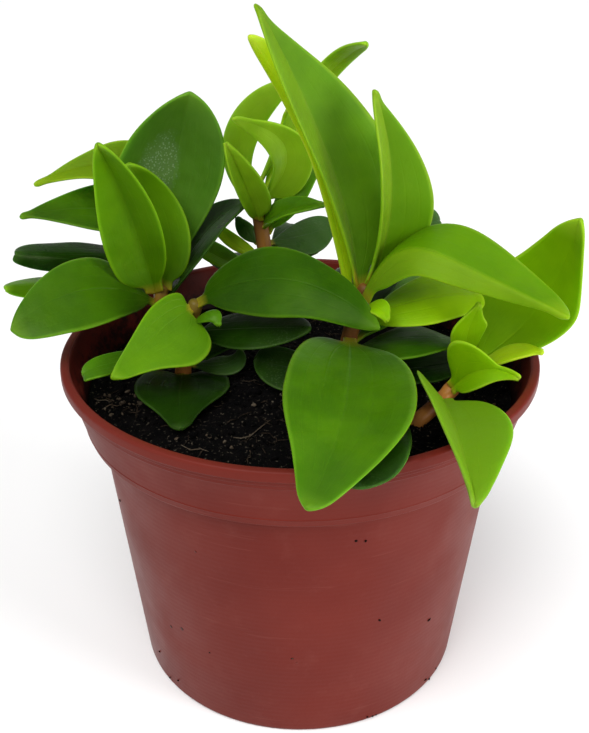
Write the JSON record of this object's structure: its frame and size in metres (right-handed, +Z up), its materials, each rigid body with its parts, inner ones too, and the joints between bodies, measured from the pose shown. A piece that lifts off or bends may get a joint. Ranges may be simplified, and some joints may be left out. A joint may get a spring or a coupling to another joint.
{
  "type": "potted cypress peperomia",
  "caption": "Small nursery pot of dark peat growing a bushy cypress peperomia, with thick, glossy, pointed leaves on short reddish stems; stands on a shelf or sill.",
  "frame": {"origin": "middle of the pot's underside", "axes": "+Z up through the pot's mouth, -Y towards the side that faces the viewer, +X to the viewer's right"},
  "size_m": [0.107, 0.1013, 0.1313],
  "materials": {
    "pot": "moulded plastic, satin, terracotta brown",
    "peat": "damp dark peat, rough",
    "stem": "fleshy stem, reddish brown",
    "leaf_dark": "thick old leaf, glossy dark green",
    "leaf_green": "thick leaf, glossy mid green",
    "leaf_bright": "thick leaf, glossy bright green",
    "leaf_lime": "thick young leaf, glossy yellow green"
  },
  "bodies": {
    "root": {"pot": "pot", "soil": "peat", "stem_back_left": "stem", "stem_left": "stem", "stem_front_left": "stem", "stem_back": "stem", "stem_middle": "stem", "stem_right": "stem", "leaf_left_narrow": "leaf_dark", "leaf_far_left_lower": "leaf_dark", "leaf_centre_low": "leaf_dark", "leaf_low_heart": "leaf_dark", "leaf_low_round": "leaf_dark", "leaf_low_narrow": "leaf_dark", "leaf_low_dark": "leaf_dark", "leaf_rear_near": "leaf_dark", "leaf_rear_right": "leaf_dark", "leaf_rear_left": "leaf_dark", "leaf_right_rear": "leaf_dark", "leaf_right_dark_low": "leaf_dark", "leaf_heart_under": "leaf_dark", "leaf_hind_low": "leaf_dark", "leaf_hind_middle": "leaf_dark", "leaf_left_wide": "leaf_green", "leaf_left_back_broad": "leaf_green", "leaf_far_left_upper": "leaf_green", "leaf_centre_long": "leaf_green", "leaf_centre_bud": "leaf_green", "leaf_low_small": "leaf_green", "leaf_back_folded": "leaf_green", "leaf_back_right": "leaf_green", "leaf_back_dark": "leaf_green", "leaf_back_olive": "leaf_green", "leaf_right_dark": "leaf_green", "leaf_heart": "leaf_green", "leaf_hind_hanging": "leaf_green", "leaf_hind_right": "leaf_green", "leaf_hind_side": "leaf_green", "leaf_hind_left": "leaf_green", "leaf_left_tall": "leaf_bright", "leaf_left_tall_pair": "leaf_bright", "leaf_far_left_low": "leaf_bright", "leaf_front_lime": "leaf_bright", "leaf_back_arch": "leaf_bright", "leaf_back_curl": "leaf_bright", "leaf_rear_thin": "leaf_bright", "leaf_tall": "leaf_bright", "leaf_right_tall": "leaf_bright", "leaf_right_arch": "leaf_bright", "leaf_front_right": "leaf_bright", "leaf_far_left_top": "leaf_lime", "leaf_back_lime": "leaf_lime", "leaf_back_pale": "leaf_lime", "leaf_tall_pair": "leaf_lime", "leaf_right_lime": "leaf_lime", "leaf_right_bud": "leaf_lime", "leaf_right_broad": "leaf_lime", "leaf_right_small_up": "leaf_lime", "leaf_right_small_low": "leaf_lime", "leaf_right_yellow": "leaf_lime"}
  },
  "joints": []
}
